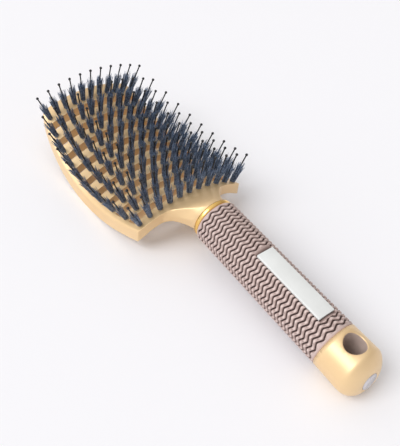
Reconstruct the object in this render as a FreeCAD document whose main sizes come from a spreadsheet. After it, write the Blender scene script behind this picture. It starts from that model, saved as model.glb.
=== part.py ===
import FreeCAD, Part
import math
import os
import Sketcher

doc = FreeCAD.newDocument("detangling_brush")

# Every size of the brush, in millimetres and degrees, is a named cell.
sizes = {
    # counts of the bristle field
    "row_count": 10,
    "column_count": 11,
    # counts of the grip's waves: grooves along the sleeve, swings round each groove
    "groove_count": 35,
    "wave_count": 12,
    # head moulding: a vented saddle, arched across and hollow along its length
    "row_pitch": 11.28,
    "near_margin": 3.6,
    "far_margin": 6.8,
    "side_margin": 3.9,
    "head_half_width": 39.7,
    "arch_radius": 73.0,
    "spine_radius": 161.0,
    "spine_low_offset": 49.4,
    "frame_depth": 8.0,
    "edge_round": 1.6,
    "rib_width": 6.6,
    "rib_depth": 6.4,
    "rim_wall": 3.0,
    "far_wall": 4.2,
    # neck between the head and the ring
    "neck_reach": 16.5,
    "neck_root_half_width": 20.0,
    "neck_root_depth": 7.4,
    "neck_sink": 0.9,
    "neck_end_radius": 11.5,
    # handle, measured along its own axis from the ring end of the sleeve
    "handle_tilt": 4.9,
    "core_radius": 8.6,
    "core_bury": 4.4,
    "slip_gap": 0.3,
    "ring_width": 2.6,
    "ring_radius": 12.4,
    "ring_round": 1.1,
    "sleeve_length": 91.8,
    "sleeve_ring_radius": 13.3,
    "sleeve_cap_radius": 13.6,
    "sleeve_round": 1.4,
    "ring_band": 2.3,
    "cap_band": 2.2,
    "wave_depth": 0.75,
    "wave_swing": 0.68,
    "label_start": 37.1,
    "label_length": 44.6,
    "label_width": 10.6,
    "label_thickness": 2.3,
    "label_proud": 0.1,
    # end cap with the hanging hole and the badge seat
    "cap_length": 24.4,
    "cap_start_radius": 13.4,
    "cap_end_radius": 13.9,
    "cap_round": 8.4,
    "hang_hole_offset": 8.5,
    "hang_hole_radius": 5.7,
    "hang_hole_round": 0.6,
    "spigot_radius": 5.2,
    "spigot_length": 12.0,
    "spigot_room": 1.0,
    "badge_radius": 4.7,
    "badge_thickness": 1.0,
    "badge_seat_depth": 0.8,
    # one bristle tuft, its pin and its anchor
    "hole_depth": 3.4,
    "tuft_clearance": 0.35,
    "tuft_foot_radius": 1.45,
    "tuft_tip_radius": 2.3,
    "tuft_height": 15.0,
    "pin_radius": 0.4,
    "pin_height": 19.4,
    "pin_ball_radius": 0.85,
    "anchor_thickness": 0.5,
    "anchor_width": 1.5,
    "anchor_length": 2.6,
    # how far every cutting shape runs past what it cuts
    "overrun": 5.0,
}

# The head's plan outline: half widths at stations from the near edge to the far one.
station_shares = (0.0, 0.10, 0.24, 0.40, 0.54, 0.68, 0.80, 0.90, 0.965, 1.0)
half_width_shares = (0.916, 0.950, 0.986, 1.0, 0.992, 0.963, 0.917, 0.861, 0.815, 0.770)
# One groove of the grip: its two edges and the two sides of its floor, as shares of the pitch of the grooves.
groove_place_shares = (0.0, 0.13, 0.31, 0.44)
groove_depth_shares = (0.0, 1.0, 1.0, 0.0)
points_per_wave = 4
# The neck's run from inside the head (below zero) to the ring, and how much of its root shape is left there.
neck_reach_shares = (-0.32, -0.07, 0.10, 0.26, 0.44, 0.64, 0.84)
neck_width_shares = (1.0, 1.0, 0.88, 0.52, 0.22, 0.08, 0.02)
neck_height_shares = (1.0, 1.0, 0.94, 0.79, 0.58, 0.35, 0.14)
neck_square_shares = (1.0, 1.0, 0.96, 0.85, 0.65, 0.4, 0.15)
neck_sink_shares = (1.0, 0.2, 0.0, 0.0, 0.0, 0.0, 0.0)
neck_square_power = 3.6
neck_points = 32

sheet = doc.addObject("Spreadsheet::Sheet", "Sizes")
for line, (alias, amount) in enumerate(sizes.items(), 1):
    sheet.set("A%d" % line, alias)
    sheet.set("B%d" % line, str(amount))
    sheet.setAlias("B%d" % line, alias)
doc.recompute()


def size(alias):
    return float(getattr(sheet, alias))


def cell(alias):
    return "Sizes." + alias


overrun = size("overrun")
row_count = int(size("row_count"))
column_count = int(size("column_count"))
row_pitch = size("row_pitch")
frame_depth = size("frame_depth")
arch_radius = size("arch_radius")
tilt = math.radians(size("handle_tilt"))
handle_length = size("sleeve_length") + size("cap_length")
head_length = size("near_margin") + (row_count - 1) * row_pitch + size("far_margin")


def spread(share, places, values):
    # A smooth curve through a table: cubic pieces that share their slopes at the stations.
    last = len(places) - 1
    k = max(j for j in range(last) if places[j] <= share or j == 0)
    step = places[k + 1] - places[k]
    part = (share - places[k]) / step

    def slope(j):
        low, high = max(j - 1, 0), min(j + 1, last)
        return (values[high] - values[low]) / (places[high] - places[low])

    keep = 1.0 - part
    return (
        values[k] * keep * keep * (1.0 + 2.0 * part)
        + values[k + 1] * part * part * (3.0 - 2.0 * part)
        + step * part * keep * (keep * slope(k) - part * slope(k + 1))
    )


def half_width(along):
    share = min(max(along / head_length, 0.0), 1.0)
    return size("head_half_width") * spread(share, station_shares, half_width_shares)


def arch_drop(across):
    return arch_radius - math.sqrt(arch_radius**2 - across**2)


def spine_rise(along):
    radius = size("spine_radius")
    return radius - math.sqrt(radius**2 - (along - size("spine_low_offset")) ** 2)


def rounded_corner(half, side, depth, at_top):
    # Three points of the arc that rounds one corner of the arched band, as (across, height from the crown).
    bend = size("edge_round")
    ease = bend * (1.0 - math.sqrt(0.5))
    places = ((half - bend, 0.0), (half - ease, ease), (half, bend))
    if not at_top:
        places = tuple((across, depth - down) for across, down in places[::-1])
    return [(side * across, -arch_drop(across) - down) for across, down in places]


def arc_edge(points):
    return Part.Arc(*points).toShape()


# The brush lies bristles up: the rim's two flanks and the cap's belly meet the floor at height zero.
# The spine's lowest height follows from the lowest point of the flanks.
def flank_depth(half):
    arc = arc_edge([FreeCAD.Vector(x, 0.0, z) for x, z in rounded_corner(half, 1.0, frame_depth, False)])
    return -min(spot.z for spot in arc.discretize(flank_points))


flank_points = 40
flank_steps = 120
flank_places = [k * head_length / flank_steps for k in range(flank_steps + 1)]
spine_low = max(flank_depth(half_width(along)) - spine_rise(along) for along in flank_places)
cap_round = size("cap_round")
cap_taper = (size("cap_end_radius") - size("cap_start_radius")) / size("cap_length")
belly_run = handle_length - cap_round
belly_radius = (
    size("cap_start_radius")
    + (size("cap_length") - cap_round) * cap_taper
    - cap_round * math.hypot(1.0, cap_taper)
)
datum_z = belly_run * math.sin(tilt) + belly_radius * math.cos(tilt) + cap_round
cap_tail = belly_run * math.cos(tilt) + belly_radius * math.sin(tilt) + cap_round
badge_run = handle_length - size("badge_seat_depth") + size("badge_thickness")
badge_tail = badge_run * math.cos(tilt) + size("badge_radius") * math.sin(tilt)
# Lengthwise the origin is the middle between the handle's tail and the far edge.
near_from_ring = size("neck_reach") + size("ring_width")
datum_y = (max(cap_tail, badge_tail) - near_from_ring - head_length) / 2.0
near_y = datum_y + near_from_ring


def top_height(along, across):
    return spine_low + spine_rise(along) - arch_drop(across)


def handle_place():
    # Handle pieces run along +Y from the sleeve's ring end towards the cap, with +Z on the label's side.
    turn = FreeCAD.Rotation(180.0, 0.0, -size("handle_tilt"))
    return FreeCAD.Placement(FreeCAD.Vector(0.0, datum_y, datum_z), turn)


def place_of(run, lift=0.0):
    return handle_place().multVec(FreeCAD.Vector(0.0, run, lift))


def origin_plane(body, role):
    return [item for item in body.Origin.OriginFeatures if item.Role == role][0]


def number(term):
    return float(sheet.evalExpression(term))


def sketch_on(body, role, name):
    sketch = body.newObject("Sketcher::SketchObject", name)
    sketch.AttachmentSupport = [(origin_plane(body, role), "")]
    sketch.MapMode = "FlatFace"
    return sketch


def add_loop(sketch, corners):
    # A closed chain of lines whose corners are held by bound distances from the origin.
    first = sketch.GeometryCount
    count = len(corners)
    spots = [FreeCAD.Vector(number(across), number(up), 0.0) for across, up in corners]
    for k in range(count):
        sketch.addGeometry(Part.LineSegment(spots[k], spots[(k + 1) % count]))
    for k in range(count):
        sketch.addConstraint(Sketcher.Constraint("Coincident", first + k, 2, first + (k + 1) % count, 1))
    for k, corner in enumerate(corners):
        for kind, term in zip(("DistanceX", "DistanceY"), corner):
            index = sketch.addConstraint(Sketcher.Constraint(kind, -1, 1, first + k, 1, number(term)))
            sketch.setExpression("Constraints[%d]" % index, term)


def turned_body(label, corners):
    # A body of revolution about its own Y axis; corners are (along, radius).
    body = doc.addObject("PartDesign::Body", label)
    sketch = sketch_on(body, "YZ_Plane", label + "_profile")
    add_loop(sketch, corners)
    turn = body.newObject("PartDesign::Revolution", label + "_turn")
    turn.Profile = sketch
    turn.ReferenceAxis = (sketch, ["H_Axis"])
    turn.Angle = 360.0
    doc.recompute()
    return body


def round_edges(body, alias, wanted):
    base = body.Tip
    names = ["Edge%d" % (k + 1) for k, edge in enumerate(base.Shape.Edges) if wanted(edge)]
    rounded = body.newObject("PartDesign::Fillet", body.Name + "_round")
    rounded.Base = (base, names)
    rounded.setExpression("Radius", cell(alias))
    doc.recompute()


def pocket(body, sketch, alias_term, both_ways=False):
    cut = body.newObject("PartDesign::Pocket", sketch.Name + "_cut")
    cut.Profile = sketch
    cut.setExpression("Length", alias_term)
    cut.Midplane = both_ways
    doc.recompute()
    return cut


def is_circle(edge, radius):
    return isinstance(edge.Curve, Part.Circle) and abs(edge.Curve.Radius - radius) < size("slip_gap") / 2.0


def held(label, shape):
    feature = doc.addObject("Part::Feature", label)
    feature.Shape = shape
    return feature


def loft_of(label, wires, ruled=False):
    loft = doc.addObject("Part::Loft", label)
    loft.Sections = [held("%s_section_%02d" % (label, k + 1), wire) for k, wire in enumerate(wires)]
    loft.Solid = True
    loft.Ruled = ruled
    return loft


# Neck ring: a plated band between the neck's shoulder and the sleeve.
ring_bore = "(%s + %s)" % (cell("core_radius"), cell("slip_gap"))
neck_ring = turned_body(
    "neck_ring",
    [
        ("0", ring_bore),
        (cell("ring_width"), ring_bore),
        (cell("ring_width"), cell("ring_radius")),
        ("0", cell("ring_radius")),
    ],
)
round_edges(neck_ring, "ring_round", lambda edge: is_circle(edge, size("ring_radius")))

# Grip sleeve: a rubber tube with grooves that run round it in waves, and a window for the label plate.
wave_count = int(size("wave_count"))
groove_count = int(size("groove_count"))
sleeve_length = size("sleeve_length")


def sleeve_radius(run):
    widening = size("sleeve_cap_radius") - size("sleeve_ring_radius")
    return size("sleeve_ring_radius") + widening * run / sleeve_length


def wave_wire(run, depth, swing):
    # A closed curve round the sleeve, which swings to and fro along it.
    radius = sleeve_radius(run) - depth
    count = points_per_wave * wave_count
    spots = []
    for k in range(count):
        angle = 2.0 * math.pi * k / count
        place = run - swing * math.cos(wave_count * angle)
        spots.append(FreeCAD.Vector(radius * math.sin(angle), place, radius * math.cos(angle)))
    curve = Part.BSplineCurve()
    curve.interpolate(Points=spots, PeriodicFlag=True)
    return Part.Wire(curve.toShape())


bend = size("sleeve_round")
ease = bend * (1.0 - math.sqrt(0.5))
end_rounding = ((0.0, bend), (ease, ease), (bend, 0.0))
waved_length = sleeve_length - size("ring_band") - size("cap_band")
groove_pitch = waved_length / (groove_count - 1 + groove_place_shares[-1])
sleeve_wires = [wave_wire(run, depth, 0.0) for run, depth in end_rounding]
for groove in range(groove_count):
    for place, depth in zip(groove_place_shares, groove_depth_shares):
        run = size("ring_band") + (groove + place) * groove_pitch
        sleeve_wires.append(wave_wire(run, depth * size("wave_depth"), size("wave_swing")))
sleeve_wires += [wave_wire(sleeve_length - run, depth, 0.0) for run, depth in end_rounding[::-1]]
sleeve_skin = loft_of("sleeve_skin", sleeve_wires, ruled=True)

lie_down = FreeCAD.Rotation(FreeCAD.Vector(1, 0, 0), -90.0)
sleeve_bore = doc.addObject("Part::Cylinder", "sleeve_bore")
sleeve_bore.setExpression("Radius", ring_bore)
sleeve_bore.setExpression("Height", "%s + 2 * %s" % (cell("sleeve_length"), cell("overrun")))
sleeve_bore.Placement = FreeCAD.Placement(FreeCAD.Vector(0.0, -overrun, 0.0), lie_down)
label_seat = "(%s + (%s - %s) * %s / %s - %s)" % tuple(
    cell(alias)
    for alias in (
        "sleeve_ring_radius",
        "sleeve_cap_radius",
        "sleeve_ring_radius",
        "label_start",
        "sleeve_length",
        "label_thickness",
    )
)
window = doc.addObject("Part::Box", "label_window")
window.setExpression("Length", "%s + 2 * %s" % (cell("label_width"), cell("slip_gap")))
window.setExpression("Width", "%s + 2 * %s" % (cell("label_length"), cell("slip_gap")))
window.setExpression("Height", cell("sleeve_cap_radius"))
window.setExpression("Placement.Base.x", "-%s / 2 - %s" % (cell("label_width"), cell("slip_gap")))
window.setExpression("Placement.Base.y", "%s - %s" % (cell("label_start"), cell("slip_gap")))
window.setExpression("Placement.Base.z", label_seat)
bored_sleeve = doc.addObject("Part::Cut", "bored_sleeve")
bored_sleeve.Base = sleeve_skin
bored_sleeve.Tool = sleeve_bore
grip_sleeve = doc.addObject("Part::Cut", "grip_sleeve")
grip_sleeve.Base = bored_sleeve
grip_sleeve.Tool = window
doc.recompute()

# Label plate: bare, flat below and curved above with the sleeve.
plate_block = doc.addObject("Part::Box", "plate_block")
plate_block.setExpression("Length", cell("label_width"))
plate_block.setExpression("Width", cell("label_length"))
plate_block.setExpression("Height", cell("sleeve_cap_radius"))
plate_block.setExpression("Placement.Base.x", "-%s / 2" % cell("label_width"))
plate_block.setExpression("Placement.Base.y", cell("label_start"))
plate_block.setExpression("Placement.Base.z", label_seat)
plate_round = doc.addObject("Part::Cone", "plate_round")
plate_round.setExpression("Radius1", "%s + %s" % (cell("sleeve_ring_radius"), cell("label_proud")))
plate_round.setExpression("Radius2", "%s + %s" % (cell("sleeve_cap_radius"), cell("label_proud")))
plate_round.setExpression("Height", cell("sleeve_length"))
plate_round.Placement = FreeCAD.Placement(FreeCAD.Vector(), lie_down)
label_plate = doc.addObject("Part::Common", "label_plate")
label_plate.Base = plate_block
label_plate.Tool = plate_round

# End cap: a rounded plug with a spigot for the handle core, a hanging hole across it and a badge seat.
cap_start = cell("sleeve_length")
cap_end = "(%s + %s)" % (cell("sleeve_length"), cell("cap_length"))
spigot_start = "(%s - %s)" % (cell("sleeve_length"), cell("spigot_length"))
seat_floor = "(%s - %s)" % (cap_end, cell("badge_seat_depth"))
seat_radius = "(%s + %s)" % (cell("badge_radius"), cell("slip_gap"))
end_cap = turned_body(
    "end_cap",
    [
        (spigot_start, "0"),
        (spigot_start, cell("spigot_radius")),
        (cap_start, cell("spigot_radius")),
        (cap_start, cell("cap_start_radius")),
        (cap_end, cell("cap_end_radius")),
        (cap_end, seat_radius),
        (seat_floor, seat_radius),
        (seat_floor, "0"),
    ],
)
round_edges(end_cap, "cap_round", lambda edge: is_circle(edge, size("cap_end_radius")))
hang = sketch_on(end_cap, "XY_Plane", "hang_hole")
hang_run = size("sleeve_length") + size("hang_hole_offset")
hang.addGeometry(
    Part.Circle(FreeCAD.Vector(0.0, hang_run, 0.0), FreeCAD.Vector(0.0, 0.0, 1.0), size("hang_hole_radius"))
)
hang.addConstraint(Sketcher.Constraint("PointOnObject", 0, 3, -2))
along_axis_bond = hang.addConstraint(Sketcher.Constraint("DistanceY", -1, 1, 0, 3, hang_run))
hang.setExpression(
    "Constraints[%d]" % along_axis_bond, "%s + %s" % (cell("sleeve_length"), cell("hang_hole_offset"))
)
radius_bond = hang.addConstraint(Sketcher.Constraint("Radius", 0, size("hang_hole_radius")))
hang.setExpression("Constraints[%d]" % radius_bond, cell("hang_hole_radius"))
pocket(end_cap, hang, "4 * %s" % cell("cap_end_radius"), both_ways=True)


def on_hang_wall(edge):
    # The two rims of the hanging hole: edges whose points all keep the hole's radius from its axis.
    close = size("slip_gap") / 10.0
    spots = edge.discretize(9)
    return all(
        abs(math.hypot(spot.x, spot.y - hang_run) - size("hang_hole_radius")) < close for spot in spots
    ) and max(spot.z for spot in spots) - min(spot.z for spot in spots) < size("hang_hole_radius")


round_edges(end_cap, "hang_hole_round", on_hang_wall)

# End badge: a bare disc in the cap's end.
end_badge = doc.addObject("Part::Cylinder", "end_badge")
end_badge.setExpression("Radius", cell("badge_radius"))
end_badge.setExpression("Height", cell("badge_thickness"))

for piece in (neck_ring, grip_sleeve, label_plate, end_cap):
    piece.Placement = handle_place()
ring_place = place_of(-size("ring_width"))
neck_ring.Placement = FreeCAD.Placement(ring_place, handle_place().Rotation)
along_axis = handle_place().Rotation * lie_down
end_badge.Placement = FreeCAD.Placement(place_of(handle_length - size("badge_seat_depth")), along_axis)


# Head moulding: cross sections in upright planes, lofted from the near edge to the far one.
def section_wire(along):
    # An arched band with rounded corners.
    crown = FreeCAD.Vector(0.0, near_y + along, top_height(along, 0.0))
    half = half_width(along)

    def corner(side, at_top):
        places = rounded_corner(half, side, frame_depth, at_top)
        return [crown + FreeCAD.Vector(x, 0.0, z) for x, z in places]

    top_right, low_right = corner(1.0, True), corner(1.0, False)
    top_left, low_left = corner(-1.0, True), corner(-1.0, False)
    belly = crown - FreeCAD.Vector(0.0, 0.0, frame_depth)
    return Part.Wire(
        [
            arc_edge((top_left[0], crown, top_right[0])),
            arc_edge(top_right),
            Part.LineSegment(top_right[2], low_right[0]).toShape(),
            arc_edge(low_right),
            arc_edge((low_right[2], belly, low_left[2])),
            arc_edge(low_left[::-1]),
            Part.LineSegment(low_left[0], top_left[2]).toShape(),
            arc_edge(top_left[::-1]),
        ]
    )


head_shell = loft_of("head_shell", [section_wire(share * head_length) for share in station_shares])

# The back is hollowed under the ribs, inside the rim.
first_gap = size("near_margin") + row_pitch / 2.0
hollow_end = head_length - size("far_wall")


def hollow_wire(along):
    y = near_y + along
    half = half_width(along) - size("rim_wall")
    down = size("rib_depth")

    def roof(across):
        return FreeCAD.Vector(across, y, top_height(along, across) - down)

    left_foot = FreeCAD.Vector(-half, y, -overrun)
    right_foot = FreeCAD.Vector(half, y, -overrun)
    return Part.Wire(
        [
            arc_edge((roof(-half), roof(0.0), roof(half))),
            Part.LineSegment(roof(half), right_foot).toShape(),
            Part.LineSegment(right_foot, left_foot).toShape(),
            Part.LineSegment(left_foot, roof(-half)).toShape(),
        ]
    )


hollow_count = 8
back_hollow = loft_of(
    "back_hollow",
    [
        hollow_wire(first_gap + (hollow_end - first_gap) * k / (hollow_count - 1))
        for k in range(hollow_count)
    ],
)

# Vents: one slot through the head between each two rows.
vent_body = doc.addObject("PartDesign::Body", "vents")
vent_sketch = sketch_on(vent_body, "XY_Plane", "vent_outlines")


def row_along(row):
    return size("near_margin") + row * row_pitch


vent_place = FreeCAD.Vector(0.0, near_y, -overrun)
for row in range(row_count - 1):
    low = "(%s + %d * %s + %s / 2)" % (cell("near_margin"), row, cell("row_pitch"), cell("rib_width"))
    high = "(%s + %d * %s - %s / 2)" % (cell("near_margin"), row + 1, cell("row_pitch"), cell("rib_width"))
    ends = []
    for term in (low, high):
        share = half_width(number(term)) / size("head_half_width")
        ends.append("(%.5f * %s - %s)" % (share, cell("head_half_width"), cell("rim_wall")))
    add_loop(vent_sketch, [("-" + ends[0], low), (ends[0], low), (ends[1], high), ("-" + ends[1], high)])
vent_pad = vent_body.newObject("PartDesign::Pad", "vent_slots")
vent_body.AllowCompound = True
vent_pad.Profile = vent_sketch
highest = top_height(head_length, 0.0)
vent_pad.Length = highest + 2.0 * overrun
vent_body.Placement = FreeCAD.Placement(vent_place, FreeCAD.Rotation())
doc.recompute()


# Neck: sections that shrink from a flat root inside the head to the round shoulder behind the ring.
def neck_wire(centre, half, deep, square, turn):
    # A rounded box section; square is one at the root and zero for a plain ellipse.
    power = 2.0 + square * (neck_square_power - 2.0)
    spots = []
    for k in range(neck_points):
        angle = 2.0 * math.pi * k / neck_points
        across, rise = math.cos(angle), math.sin(angle)
        across = math.copysign(abs(across) ** (2.0 / power), across)
        rise = math.copysign(abs(rise) ** (2.0 / power), rise)
        sag = square * arch_drop(half * across)
        spots.append(centre + turn.multVec(FreeCAD.Vector(half * across, 0.0, deep * rise - sag)))
    curve = Part.BSplineCurve()
    curve.interpolate(Points=spots, PeriodicFlag=True)
    return Part.Wire(curve.toShape())


root_depth = size("neck_root_depth")
shoulder = place_of(-size("ring_width"))
end_radius = size("neck_end_radius")
tip_turn = FreeCAD.Rotation(FreeCAD.Vector(1, 0, 0), size("handle_tilt"))
neck_wires = []
for reach, wide, tall, square, sink in zip(
    neck_reach_shares, neck_width_shares, neck_height_shares, neck_square_shares, neck_sink_shares
):
    y = near_y + reach * (shoulder.y - near_y)
    half = end_radius + wide * (size("neck_root_half_width") - end_radius)
    deep = (2.0 * end_radius + tall * (root_depth - 2.0 * end_radius)) / 2.0
    root_top = top_height(max(y - near_y, 0.0), 0.0) - sink * size("neck_sink")
    top = shoulder.z + end_radius + tall * (root_top - shoulder.z - end_radius)
    turn = FreeCAD.Rotation(FreeCAD.Vector(1, 0, 0), size("handle_tilt") * (1.0 - tall))
    neck_wires.append(neck_wire(FreeCAD.Vector(0.0, y, top - deep), half, deep, square, turn))
neck_wires.append(neck_wire(shoulder, end_radius, end_radius, 0.0, tip_turn))
neck_loft = loft_of("neck_loft", neck_wires)

# Handle core: the neck runs on inside the sleeve and is bored for the cap's spigot.
core_rod = doc.addObject("Part::Cylinder", "core_rod")
core_rod.setExpression("Radius", cell("core_radius"))
core_rod.setExpression("Height", "%s + %s" % (cell("sleeve_length"), cell("core_bury")))
core_rod.Placement = FreeCAD.Placement(place_of(-size("core_bury")), along_axis)
core_bore = doc.addObject("Part::Cylinder", "core_bore")
core_bore.setExpression("Radius", "%s + %s" % (cell("spigot_radius"), cell("slip_gap")))
bore_lengths = ("spigot_length", "spigot_room", "overrun")
core_bore.setExpression("Height", " + ".join(cell(alias) for alias in bore_lengths))
core_bore.Placement = FreeCAD.Placement(
    place_of(size("sleeve_length") - size("spigot_length") - size("spigot_room")), along_axis
)


# Bristle field: rows lie in upright planes and each column leans square to the arch.
def tuft_frames(row):
    along = row_along(row)
    middle = (column_count - 1) / 2.0
    pitch = (half_width(along) - size("side_margin")) / middle
    frames = []
    for column in range(column_count):
        across = (column - middle) * pitch
        lean = math.degrees(math.asin(across / arch_radius))
        turn = FreeCAD.Rotation(FreeCAD.Vector(0, 1, 0), lean)
        spot = FreeCAD.Vector(across, near_y + along, top_height(along, across))
        frames.append(FreeCAD.Placement(spot, turn))
    return frames


def placed_copies(shape, frames):
    copies = []
    for frame in frames:
        copy = shape.copy()
        copy.Placement = frame
        copies.append(copy)
    return Part.makeCompound(copies)


hole_depth = size("hole_depth")
hole_radius = size("tuft_foot_radius") + size("tuft_clearance")
hole_tool = Part.makeCylinder(
    hole_radius, hole_depth + overrun / 2.0, FreeCAD.Vector(0.0, 0.0, -hole_depth)
)
all_frames = [frame for row in range(row_count) for frame in tuft_frames(row)]
tuft_holes = held("tuft_holes", placed_copies(hole_tool, all_frames))

hollow_head = doc.addObject("Part::Cut", "hollow_head")
hollow_head.Base = head_shell
hollow_head.Tool = back_hollow
vented_head = doc.addObject("Part::Cut", "vented_head")
vented_head.Base = hollow_head
vented_head.Tool = vent_body
whole_frame = doc.addObject("Part::MultiFuse", "whole_frame")
whole_frame.Shapes = [vented_head, neck_loft, core_rod]
bored_frame = doc.addObject("Part::Cut", "bored_frame")
bored_frame.Base = whole_frame
bored_frame.Tool = core_bore
head_frame = doc.addObject("Part::Cut", "head_frame")
head_frame.Base = bored_frame
head_frame.Tool = tuft_holes

# One tuft with a bore for its pin, one ball-ended pin, and one flat anchor under them both.
tuft_bore = "(%s + %s)" % (cell("pin_radius"), cell("slip_gap"))
tuft_top = "(%s + %s)" % (cell("hole_depth"), cell("tuft_height"))
tuft = doc.addObject("Part::Cone", "tuft_cone")
tuft.setExpression("Radius1", cell("tuft_foot_radius"))
tuft.setExpression("Radius2", cell("tuft_tip_radius"))
tuft.setExpression("Height", "%s - %s" % (tuft_top, cell("anchor_thickness")))
tuft.setExpression("Placement.Base.z", "%s - %s" % (cell("anchor_thickness"), cell("hole_depth")))
tuft_hollow = doc.addObject("Part::Cylinder", "tuft_hollow")
tuft_hollow.setExpression("Radius", tuft_bore)
tuft_hollow.setExpression("Height", "%s + %s" % (tuft_top, cell("overrun")))
tuft_hollow.setExpression("Placement.Base.z", "-%s" % cell("hole_depth"))
one_tuft = doc.addObject("Part::Cut", "one_tuft")
one_tuft.Base = tuft
one_tuft.Tool = tuft_hollow
pin_stem = doc.addObject("Part::Cylinder", "pin_stem")
pin_stem.setExpression("Radius", cell("pin_radius"))
stem_foot = "(%s - %s)" % (cell("anchor_thickness"), cell("hole_depth"))
ball_place = "(%s - %s)" % (cell("pin_height"), cell("pin_ball_radius"))
pin_stem.setExpression("Height", "%s - %s" % (ball_place, stem_foot))
pin_stem.setExpression("Placement.Base.z", stem_foot)
pin_ball = doc.addObject("Part::Sphere", "pin_ball")
pin_ball.setExpression("Radius", cell("pin_ball_radius"))
pin_ball.setExpression("Placement.Base.z", ball_place)
one_pin = doc.addObject("Part::Fuse", "one_pin")
one_pin.Base = pin_stem
one_pin.Tool = pin_ball
one_anchor = doc.addObject("Part::Box", "one_anchor")
one_anchor.setExpression("Length", cell("anchor_length"))
one_anchor.setExpression("Width", cell("anchor_width"))
one_anchor.setExpression("Height", cell("anchor_thickness"))
one_anchor.setExpression("Placement.Base.x", "-%s / 2" % cell("anchor_length"))
one_anchor.setExpression("Placement.Base.y", "-%s / 2" % cell("anchor_width"))
one_anchor.setExpression("Placement.Base.z", "-%s" % cell("hole_depth"))
doc.recompute()

pieces = [head_frame, neck_ring, grip_sleeve, label_plate, end_cap, end_badge]
for kind, master in (("tufts", one_tuft), ("pins", one_pin), ("anchors", one_anchor)):
    for row in range(row_count):
        frames = tuft_frames(row)
        moved = [frame.multiply(master.Placement) for frame in frames]
        pieces.append(held("%s_row_%02d" % (kind, row + 1), placed_copies(master.Shape, moved)))
doc.recompute()

for item in doc.Objects:
    if "Invalid" in item.State or "Error" in item.State:
        raise RuntimeError("%s did not build" % item.Label)
for piece in pieces:
    if piece.Shape.isNull() or not piece.Shape.isValid():
        raise RuntimeError("%s is not a valid solid" % piece.Label)

os.makedirs("parts", exist_ok=True)
for piece in pieces:
    piece.Shape.exportStep(os.path.join("parts", piece.Label + ".step"))
    box = piece.Shape.BoundBox
    print(
        "%-16s solids %3d  volume %9.1f  x %6.1f %6.1f  y %7.1f %7.1f  z %6.2f %6.2f"
        % (
            piece.Label,
            len(piece.Shape.Solids),
            piece.Shape.Volume,
            box.XMin,
            box.XMax,
            box.YMin,
            box.YMax,
            box.ZMin,
            box.ZMax,
        )
    )
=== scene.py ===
import math
import random

import bmesh
import bpy
from mathutils import Euler, Matrix, Vector


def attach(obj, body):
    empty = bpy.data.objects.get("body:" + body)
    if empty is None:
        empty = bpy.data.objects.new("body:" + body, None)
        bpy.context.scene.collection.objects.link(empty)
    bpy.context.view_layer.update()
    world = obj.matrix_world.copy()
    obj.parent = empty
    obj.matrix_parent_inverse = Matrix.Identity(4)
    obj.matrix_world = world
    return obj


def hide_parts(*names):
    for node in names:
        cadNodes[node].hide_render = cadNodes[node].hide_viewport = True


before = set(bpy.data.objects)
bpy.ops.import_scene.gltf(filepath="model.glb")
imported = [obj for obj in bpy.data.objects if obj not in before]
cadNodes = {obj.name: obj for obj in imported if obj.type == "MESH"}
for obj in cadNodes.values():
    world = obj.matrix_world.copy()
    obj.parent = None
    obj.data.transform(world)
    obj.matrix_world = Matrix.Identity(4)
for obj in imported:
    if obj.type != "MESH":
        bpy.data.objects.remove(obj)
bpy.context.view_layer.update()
mm = 0.001  # every size below is in millimetres

# Stage, camera and light

stageLook = {
    "floorSpan": 8000,
    "floorColour": "#F1F1F5",
    "floorRoughness": 0.7,
    "floorGrain": 1.1111,  # stipple of rolled paint
    "floorRelief": (0.04, 0.2),  # strength, and depth in millimetres
    "skyStops": [(0.3, "#AFA9A4"), (0.85, "#FFFFFF")],  # dark and bright side of the studio
    "brightSide": (-0.78, 0.42, 0.46),  # towards the window
    "horizonColour": "#F4F4F6",
    "horizonBand": (0.08, 0.2),  # sine of the height where the backdrop gives way to the studio
    "skyStrength": 0.95,
}
cameraPlace = {
    "spot": (-182.863, -183.252, 268.242),
    "right": (0.776233, -0.622451, 0.100086),
    "up": (0.385526, 0.594268, 0.705844),
    "back": (-0.498831, -0.509313, 0.701261),
    "lens": 58.688,
    "sensor": 36,
    "nearest": 10,
}
windowLight = {"towards": (-0.68, 0.16, 0.71), "spread": 34.0, "strength": 1.5}


def linearColour(hexText):
    channels = [int(hexText[k : k + 2], 16) / 255 for k in (1, 3, 5)]
    return tuple(c / 12.92 if c <= 0.04045 else ((c + 0.055) / 1.055) ** 2.4 for c in channels) + (1.0,)


def addNode(tree, kind, settings=None, links=None):  # one node with its settings, and what feeds it
    node = tree.nodes.new(kind)
    for key, value in (settings or {}).items():
        if key == "stops":
            ramp = node.color_ramp.elements
            while len(ramp) < len(value):
                ramp.new(0.5)
            for element, (place, colour) in zip(ramp, value):
                element.position = place
                element.color = linearColour(colour)
        elif key in node.inputs:
            node.inputs[key].default_value = value
        else:
            setattr(node, key, value)
    for key, source in (links or {}).items():
        tree.links.new(source, node.inputs[key])
    return node


def newMaterial(name):
    material = bpy.data.materials.new(name)
    material.use_nodes = True
    material.node_tree.nodes.clear()
    return material, material.node_tree


def clearSelection():
    if bpy.context.object and bpy.context.object.mode != "OBJECT":
        bpy.ops.object.mode_set(mode="OBJECT")
    bpy.ops.object.select_all(action="DESELECT")


def makeActive(piece):
    clearSelection()
    piece.select_set(True)
    bpy.context.view_layer.objects.active = piece


def applyModifier(piece, kind, **settings):
    makeActive(piece)
    modifier = piece.modifiers.new(kind.lower(), kind)
    for key, value in settings.items():
        setattr(modifier, key, value)
    bpy.ops.object.modifier_apply(modifier=modifier.name)


def finishPiece(piece, name, material, slotName, *nodeNames):
    piece.name = name
    piece.data.name = name
    piece.data.materials.clear()
    piece.data.materials.append(material)
    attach(piece, "root")
    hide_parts(*nodeNames)


def grainScale(size):  # noise scale for a grain of this many millimetres
    return 1.0 / (size * mm)


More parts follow.
